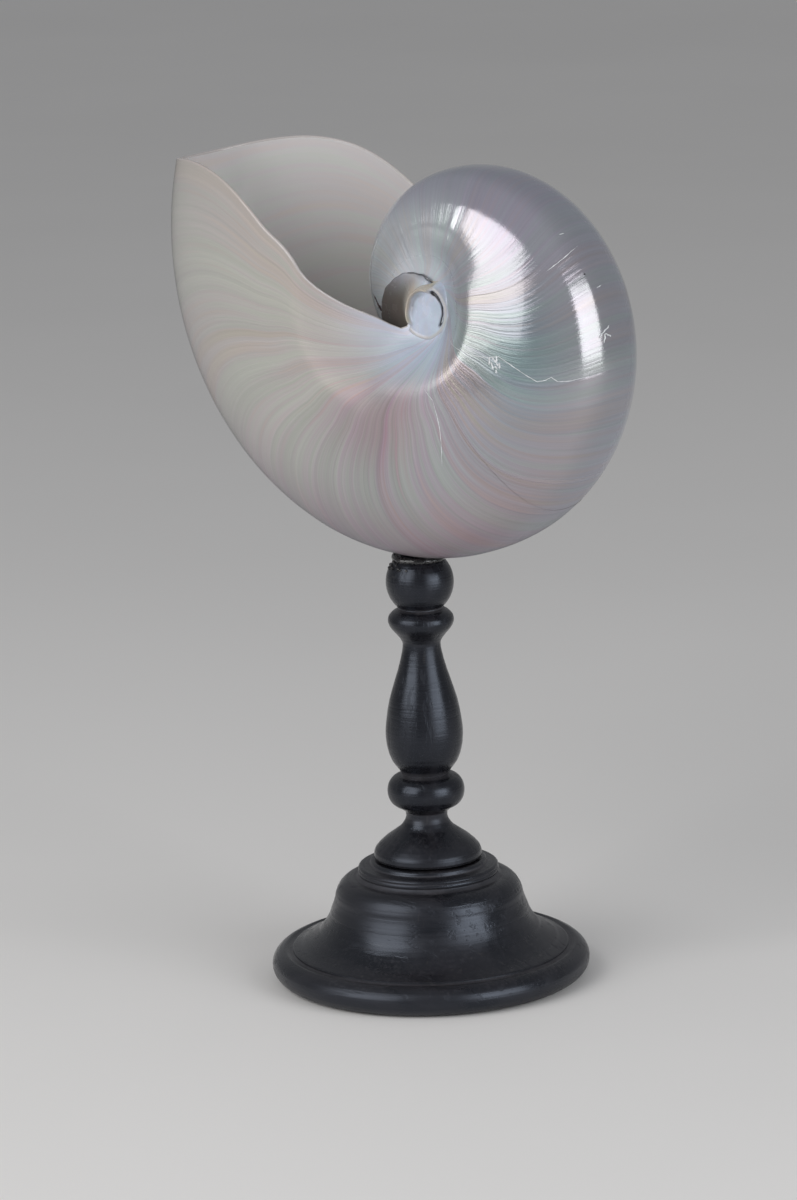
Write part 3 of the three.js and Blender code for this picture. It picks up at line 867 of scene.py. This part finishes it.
def shared_group(name):
    """One of the shared groups, built when it is first wanted."""
    if name in bpy.data.node_groups:
        return bpy.data.node_groups[name]
    fill, inputs, outputs = SHARED_GROUPS[name]
    tree = bpy.data.node_groups.new(name, "ShaderNodeTree")
    for label, default in inputs.items():
        kind = "NodeSocketVector" if default is None else "NodeSocketFloat"
        socket = tree.interface.new_socket(name=label, in_out="INPUT", socket_type=kind)
        if default is not None:
            socket.default_value = default
    for label in outputs:
        kind = "NodeSocketColor" if label == "Colour" else "NodeSocketFloat"
        tree.interface.new_socket(name=label, in_out="OUTPUT", socket_type=kind)
    nodes = Nodes(tree)
    source = nodes.add("NodeGroupInput", location=(-900, 0)).outputs
    results = fill(nodes, *(source[label] for label in inputs))
    nodes.add("NodeGroupOutput", dict(zip(outputs, results)), location=(700, 0))
    return tree


def new_material(name):
    material = bpy.data.materials.new(name)
    material.use_nodes = True
    material.node_tree.nodes.clear()
    nodes = Nodes(material.node_tree)
    shader = nodes.add("ShaderNodeBsdfPrincipled", location=(600, 0))
    nodes.add("ShaderNodeOutputMaterial", {"Surface": shader.outputs["BSDF"]}, location=(900, 0))
    return material, nodes, shader


def pearl_material():
    """Polished mother-of-pearl of the outer face."""
    material, nodes, shader = new_material("polished_pearl")
    lines = nodes.attribute("shell_lines", "Vector")
    # The painted sheen mask sets the strength of the sheen hues and the contrast of the streaks.
    gloss, play = nodes.attribute("gloss"), nodes.attribute("play")
    streaks = nodes.place("growth_streaks", Lines=lines, Contrast=1.0)
    sheen = nodes.place("pearl_sheen", Lines=lines, Strength=nodes.times(play, 0.92))
    fine = nodes.times(streaks["Fine"], nodes.attribute("calm"))
    light = nodes.weigh((streaks["Broad"], 0.26), (fine, 0.38), (streaks["Hair"], 0.20))
    level = nodes.fade(nodes.times(light, play), -0.2, 0.2, 0.76, 1.22)
    relief = nodes.weigh((fine, 1.0), (streaks["Hair"], 0.12), (streaks["Broad"], 1.2))
    relief = nodes.times(relief, nodes.fade(gloss, 0.0, 1.0, 0.9, 0.6))
    nodes.feed(shader, {
        "Base Color": nodes.shaded(nodes.attribute("pearl_tint", "Color"), sheen["Colour"], level),
        "Roughness": nodes.plus(nodes.fade(gloss, 0.0, 1.0, 0.50, 0.11), nodes.times(fine, 0.16)),
        "Metallic": nodes.fade(gloss, 0.0, 1.0, 0.14, 0.46),
        "Coat Weight": nodes.fade(gloss, 0.0, 1.0, 0.0, 0.8),
        "Normal": nodes.bump(relief, 0.0003, 0.6),
        "IOR": 1.6, "Coat Roughness": 0.07, "Coat IOR": 1.55,
        "Thin Film Thickness": 430.0, "Thin Film IOR": 1.45})
    return material


def lining_material(colours):
    """Smooth, faintly banded inner face of the body chamber and the lip."""
    material, nodes, shader = new_material("chamber_lining")
    lines = nodes.attribute("shell_lines", "Vector")
    streaks = nodes.place("growth_streaks", Lines=lines, Contrast=0.7)
    sheen = nodes.place("pearl_sheen", Lines=lines, Strength=0.3)
    # Painted shade: the lining turns dark brown with depth into the chamber.
    painted_deep_shade = (0.205, 0.170, 0.135)
    ground = nodes.mix(nodes.attribute("depth"), colours.lining, painted_deep_shade)
    light = nodes.weigh((streaks["Broad"], 0.3), (streaks["Fine"], 0.15))
    level = nodes.fade(light, -0.25, 0.25, 0.92, 1.06)
    nodes.feed(shader, {
        "Base Color": nodes.shaded(ground, sheen["Colour"], level),
        "Roughness": nodes.plus(0.22, nodes.times(streaks["Broad"], 0.15)),
        "Normal": nodes.bump(streaks["Fine"], 0.0001, 0.4),
        "Coat Weight": 0.5, "Coat Roughness": 0.12,
        "Subsurface Weight": 0.1, "Subsurface Radius": (1.0, 0.8, 0.65), "Subsurface Scale": 0.003})
    return material


def callus_material(colours):
    """Blue-white porcelain of the plug with its cream edge and stained crack."""
    material, nodes, shader = new_material("umbilical_porcelain")
    position = nodes.position()
    cloud = nodes.noise(position, 260.0, 3, 0.5)
    sheen = nodes.place("pearl_sheen", Lines=nodes.stretch(position, (700.0, 700.0, 700.0)), Strength=0.25)
    pale = [1.12 * c for c in colours.porcelain]
    painted_shade_brown = (0.090, 0.074, 0.060)
    plug = nodes.mix(nodes.fade(cloud, 0.3, 0.7), colours.porcelain, pale)
    edged = nodes.mix(nodes.attribute("ivory"), plug, colours.ivory)
    # Painted shade: the porcelain mixes toward a dark brown where the plug's bowl and the apron's pocket
    # are shaded.
    shaded = nodes.mix(nodes.attribute("shade"), edged, painted_shade_brown)
    tinted = nodes.mix(1.0, shaded, sheen["Colour"], "MULTIPLY")
    nodes.feed(shader, {
        "Base Color": nodes.mix(nodes.attribute("stain"), tinted, colours.stain),
        "Roughness": nodes.fade(cloud, 0.3, 0.7, 0.16, 0.3),
        "Normal": nodes.bump(cloud, 0.00008, 0.5),
        "Coat Weight": 0.4, "Coat Roughness": 0.08,
        "Subsurface Weight": 0.15, "Subsurface Radius": (1.0, 0.9, 0.85), "Subsurface Scale": 0.002})
    return material


def strand_material(name, low, high, roughness):
    """A hairline ridge or crack, patchy along its length."""
    material, nodes, shader = new_material(name)
    patch = nodes.noise(nodes.position(), 350.0, 3, 0.6)
    nodes.feed(shader, {
        "Base Color": nodes.mix(nodes.fade(patch, 0.35, 0.65), low, high),
        "Roughness": nodes.fade(patch, 0.3, 0.7, roughness - 0.08, roughness + 0.12)})
    return material


def blackened_wood_material(name, colours, grain, ring_scale, polish):
    """Black-stained turned wood in a satin polish. grain stretches the figure along the blank."""
    material, nodes, shader = new_material(name)
    position = nodes.position()
    normal = nodes.add("ShaderNodeNewGeometry").outputs["Normal"]
    wood = nodes.place("wood_figure", Position=nodes.stretch(position, grain))
    dust = nodes.place(
        "settled_dust", Position=position, Normal=normal, Hollow=nodes.attribute("hollow"),
        Amount=0.32)["Mask"]
    scratches = nodes.place("fine_scratches", Position=position, Density=0.35)["Mask"]
    rub = nodes.noise(position, 130.0, 4, 0.6)
    wear = nodes.times(nodes.attribute("sharp"), nodes.fade(rub, 0.45, 0.7, 0.0, 0.6), True)
    figure_black, scratch_grey = (0.0115, 0.0105, 0.0125), (0.04, 0.037, 0.035)
    black = nodes.mix(nodes.fade(wood["Figure"], 0.38, 0.66), colours.black, figure_black)
    scored = nodes.mix(scratches, nodes.mix(wear, black, colours.worn), scratch_grey)
    from_axis = nodes.add(
        "ShaderNodeVectorMath", {0: nodes.stretch(position, (1.0, 1.0, 0.0))}, operation="LENGTH")
    height = nodes.add("ShaderNodeSeparateXYZ", {0: position}).outputs["Z"]
    along = nodes.plus(from_axis.outputs["Value"], nodes.times(height, 1.37))
    ring_at = nodes.add("ShaderNodeCombineXYZ", {0: along}).outputs[0]
    rings = nodes.noise(ring_at, ring_scale, 4, 0.65)
    rough = nodes.plus(nodes.fade(rings, 0.3, 0.7, 0.20, 0.33), nodes.times(wood["Pores"], 0.14))
    rough = nodes.plus(rough, nodes.fade(wood["Figure"], 0.35, 0.65, -0.06, 0.12))
    pored = nodes.bump(nodes.math("SUBTRACT", 1.0, wood["Pores"]), 0.00009, 0.5)
    nodes.feed(shader, {
        "Base Color": nodes.mix(dust, scored, colours.dust),
        "Roughness": nodes.plus(rough, nodes.times(dust, 0.45), True),
        "Normal": nodes.bump(rings, 0.00014, 0.5, Normal=pored),
        "Specular IOR Level": polish, "Specular Tint": (0.74, 0.83, 1.0, 1)})
    return material


def glue_material():
    """Clear hot glue, a little cloudy."""
    material, nodes, shader = new_material("clear_hot_glue")
    cloud = nodes.noise(nodes.position(), 420.0, 3, 0.55)
    nodes.feed(shader, {
        "Base Color": nodes.mix(nodes.fade(cloud, 0.35, 0.7), (0.10, 0.10, 0.11), (0.40, 0.40, 0.41)),
        "Roughness": nodes.fade(cloud, 0.3, 0.7, 0.06, 0.22),
        "Normal": nodes.bump(cloud, 0.0002, 0.5),
        "Transmission Weight": 0.92, "IOR": 1.48})
    return material


def paper_material(colour):
    """Matt studio paper, very faintly clouded."""
    material, nodes, shader = new_material("studio_paper")
    cloud = nodes.fade(nodes.noise(nodes.position(), 3.0, 3, 0.5), 0.3, 0.7)
    paler = [min(1, c * 1.03) for c in colour]
    nodes.feed(shader, {"Base Color": nodes.mix(cloud, colour, paler), "Roughness": 0.7})
    return material


# Operators


class NAUTILUS_OT_shell(bpy.types.Operator):
    """Build the nautilus shell with its chamber, last septum and umbilical plugs"""

    bl_idname = "nautilus.shell"
    bl_label = "Nautilus shell"

    def execute(self, context):
        colours = context.scene.nautilus_pearl_colours
        parts = MeshParts()
        build_lining(parts, *build_outer_face(parts))
        build_septum(parts)
        shell = parts.build("nautilus_shell", [pearl_material(), lining_material(colours)])
        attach(shell, "root")
        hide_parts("shell")
        plugs = MeshParts()
        for side in (-1, 1):
            build_callus(plugs, side)
            build_apron(plugs, side)
        callus = plugs.build("umbilical_callus", [callus_material(colours)])
        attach(callus, "root")
        return {"FINISHED"}


class NAUTILUS_OT_marks(bpy.types.Operator):
    """Lay the healed break, the cracks and the scratches on the shell"""

    bl_idname = "nautilus.marks"
    bl_label = "Marks of life"

    def execute(self, context):
        stain = context.scene.nautilus_pearl_colours.stain
        pale = strand_material("healed_pearl", (0.50, 0.52, 0.53), (0.72, 0.74, 0.76), 0.2)
        dark = strand_material("stained_crack", stain, (0.09, 0.06, 0.06), 0.5)
        kinds = ("healed_lines", pale, PALE_LINES), ("dark_cracks", dark, DARK_LINES)
        for name, material, lines in kinds:
            parts = MeshParts()
            for stations, width, height in lines:
                surface_strand(parts, stations, width, height)
            marks = parts.build(name, [material])
            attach(marks, "root")
        return {"FINISHED"}


class NAUTILUS_OT_stem(bpy.types.Operator):
    """Turn the stem of the stand"""

    bl_idname = "nautilus.stem"
    bl_label = "Turned stem"

    def execute(self, context):
        material = blackened_wood_material(
            "blackened_wood_stem", context.scene.nautilus_wood_colours, grain=(1.0, 1.0, 0.12),
            ring_scale=1500.0, polish=0.50)
        profile = stem_profile(context.scene.nautilus_stand_sizes)
        stem = turned_piece("turned_stem", profile, 144, material, 3)
        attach(stem, "root")
        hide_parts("stem")
        return {"FINISHED"}


class NAUTILUS_OT_foot(bpy.types.Operator):
    """Turn the foot of the stand"""

    bl_idname = "nautilus.foot"
    bl_label = "Turned foot"

    def execute(self, context):
        material = blackened_wood_material(
            "blackened_wood_foot", context.scene.nautilus_wood_colours, grain=(0.12, 1.0, 1.0),
            ring_scale=1300.0, polish=0.56)
        profile = foot_profile(context.scene.nautilus_stand_sizes)
        foot = turned_piece("turned_foot", profile, 240, material, 5)
        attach(foot, "root")
        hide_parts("foot")
        return {"FINISHED"}


class NAUTILUS_OT_glue(bpy.types.Operator):
    """Squeeze the hot glue out between the ball and the shell"""

    bl_idname = "nautilus.glue"
    bl_label = "Hot glue"

    def execute(self, context):
        rings, segments, bubbles = 16, 120, 26
        ring_radius, ring_height, thickness = 7.0, 134.35, 1.15
        turn = np.linspace(0, 2 * np.pi, segments, endpoint=False)
        around = np.linspace(0, 2 * np.pi, rings + 1)[:, None]
        run = bell(turn_distance(turn, 205), 22)
        swell = 1 + 0.16 * np.sin(3 * turn + 1) + 0.10 * np.sin(7 * turn + 2.2) + 0.5 * run
        radius = ring_radius + thickness * swell * np.cos(around)
        height = ring_height + (thickness + 0.5 * run) * np.sin(around)
        parts = MeshParts()
        parts.add(round_stand(radius, turn, height), grid_faces(rings + 1, segments, closed=True))
        ball_radius = context.scene.nautilus_stand_sizes.ball_radius / MM
        rng = np.random.default_rng(7)
        for _ in range(bubbles):
            spot = math.radians(rng.normal(248, 24))
            height = rng.uniform(131.6, 134.6)
            size = rng.uniform(0.22, 0.62)
            reach = math.sqrt(ball_radius ** 2 - (height - BALL_HEIGHT) ** 2) + 0.25 * size
            self.add_bubble(parts, round_stand(reach, spot, height), size)
        glue = parts.build("glue_fillet", [glue_material()])
        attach(glue, "root")
        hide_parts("glue")
        return {"FINISHED"}

    @staticmethod
    def add_bubble(parts, centre, size):
        rows, columns = 9, 14
        tilt = np.linspace(0.02, np.pi - 0.02, rows)[:, None]
        turn = np.linspace(0, 2 * np.pi, columns, endpoint=False)
        ball = round_stand(np.sin(tilt), turn, np.cos(tilt))
        parts.add(centre + ball * size, grid_faces(rows, columns, closed=True, flip=True))


def direction(azimuth, elevation):
    """The unit vector toward an azimuth round the object and a height over the horizon."""
    level = math.cos(elevation)
    return Vector((math.sin(azimuth) * level, -math.cos(azimuth) * level, math.sin(elevation)))


# Name, azimuth and elevation in degrees, width, height, power and colour of each softbox
SOFTBOXES = (
    ("left_softbox", -16, 25, 0.98, 1.0, 9.2, (1.0, 0.99, 0.98)),
    ("right_softbox", 86, 11, 0.84, 0.84, 7.8, (0.97, 0.985, 1.0)),
)


class NAUTILUS_OT_studio(bpy.types.Operator):
    """Set the pale floor, the soft lights and the camera"""

    bl_idname = "nautilus.studio"
    bl_label = "Studio"

    def execute(self, context):
        scene = context.scene
        floor_size, floor_drop = 12, 0.0002
        bpy.ops.mesh.primitive_plane_add(size=floor_size, location=(0, 0, -floor_drop))
        floor = context.object
        floor.name = "studio_floor"
        floor.data.materials.append(paper_material(scene.nautilus_studio.floor_colour))
        world = bpy.data.worlds.new("studio_air")
        world.use_nodes = True
        air = {"Color": (0.97, 0.98, 1.0, 1), "Strength": 0.30}
        Nodes(world.node_tree).feed(world.node_tree.nodes["Background"], air)
        scene.world = world
        target, distance = Vector((0.02, 0, 0.20)), 1.2
        for name, azimuth, elevation, width, height, power, colour in SOFTBOXES:
            light = bpy.data.lights.new(name, "AREA")
            light.shape, light.size, light.size_y = "RECTANGLE", width, height
            light.energy, light.color = power, colour
            lamp = bpy.data.objects.new(name, light)
            scene.collection.objects.link(lamp)
            back = direction(math.radians(azimuth), math.radians(elevation))
            lamp.location = target + back * distance
            lamp.rotation_mode = "QUATERNION"
            lamp.rotation_quaternion = (-back).to_track_quat("-Z", "Y")
        self.add_camera(scene, scene.nautilus_studio)
        scene.view_settings.view_transform = "Standard"
        return {"FINISHED"}

    @staticmethod
    def add_camera(scene, studio):
        """The photograph's camera: 797 by 1200 pixels, and 0.31 mm to a pixel at the stem's top."""
        frame_width, frame_height = 797, 1200
        scale, focal_pixels = 0.31 * MM, 5500
        top_of_stem, seen_at = Vector((0, 0, 0.1343)), (419.0, 557.0)
        a, r = studio.azimuth, studio.roll
        back = direction(a, studio.elevation)
        right = Vector((math.cos(a), math.sin(a), 0))
        up = back.cross(right)
        across = right * math.cos(r) - up * math.sin(r)
        upward = right * math.sin(r) + up * math.cos(r)
        x = (seen_at[0] - frame_width / 2) * scale
        y = (frame_height / 2 - seen_at[1]) * scale
        data = bpy.data.cameras.new("photo_camera")
        data.sensor_width = 36
        data.lens = data.sensor_width * focal_pixels / frame_height
        data.clip_start, data.clip_end = 0.05, 50
        camera = bpy.data.objects.new("photo_camera", data)
        scene.collection.objects.link(camera)
        place = top_of_stem - across * x - upward * y + back * focal_pixels * scale
        turned = Matrix((across, upward, back)).transposed().to_4x4()
        camera.matrix_world = Matrix.Translation(place) @ turned
        scene.camera = camera


class NAUTILUS_PT_panel(bpy.types.Panel):
    """Lists the nautilus pieces in the sidebar"""

    bl_idname = "NAUTILUS_PT_panel"
    bl_label = "Nautilus"
    bl_space_type = "VIEW_3D"
    bl_region_type = "UI"
    bl_category = "Nautilus"

    def draw(self, context):
        for operator in OPERATORS:
            self.layout.operator(operator.bl_idname)


OPERATORS = (
    NAUTILUS_OT_shell, NAUTILUS_OT_marks, NAUTILUS_OT_stem, NAUTILUS_OT_foot, NAUTILUS_OT_glue,
    NAUTILUS_OT_studio)
GROUPS = {
    "nautilus_shell_sizes": ShellSizes,
    "nautilus_stand_sizes": StandSizes,
    "nautilus_pearl_colours": PearlColours,
    "nautilus_wood_colours": WoodColours,
    "nautilus_studio": StudioSettings,
}


def register():
    for cls in (*GROUPS.values(), *OPERATORS, NAUTILUS_PT_panel):
        bpy.utils.register_class(cls)
    for name, cls in GROUPS.items():
        setattr(bpy.types.Scene, name, PointerProperty(type=cls))


def unregister():
    for name in GROUPS:
        delattr(bpy.types.Scene, name)
    for cls in reversed((*GROUPS.values(), *OPERATORS, NAUTILUS_PT_panel)):
        bpy.utils.unregister_class(cls)


def main():
    register()
    bpy.ops.nautilus.shell()
    bpy.ops.nautilus.marks()
    bpy.ops.nautilus.stem()
    bpy.ops.nautilus.foot()
    bpy.ops.nautilus.glue()
    bpy.ops.nautilus.studio()
    bpy.context.view_layer.update()


if __name__ == "__main__":
    main()
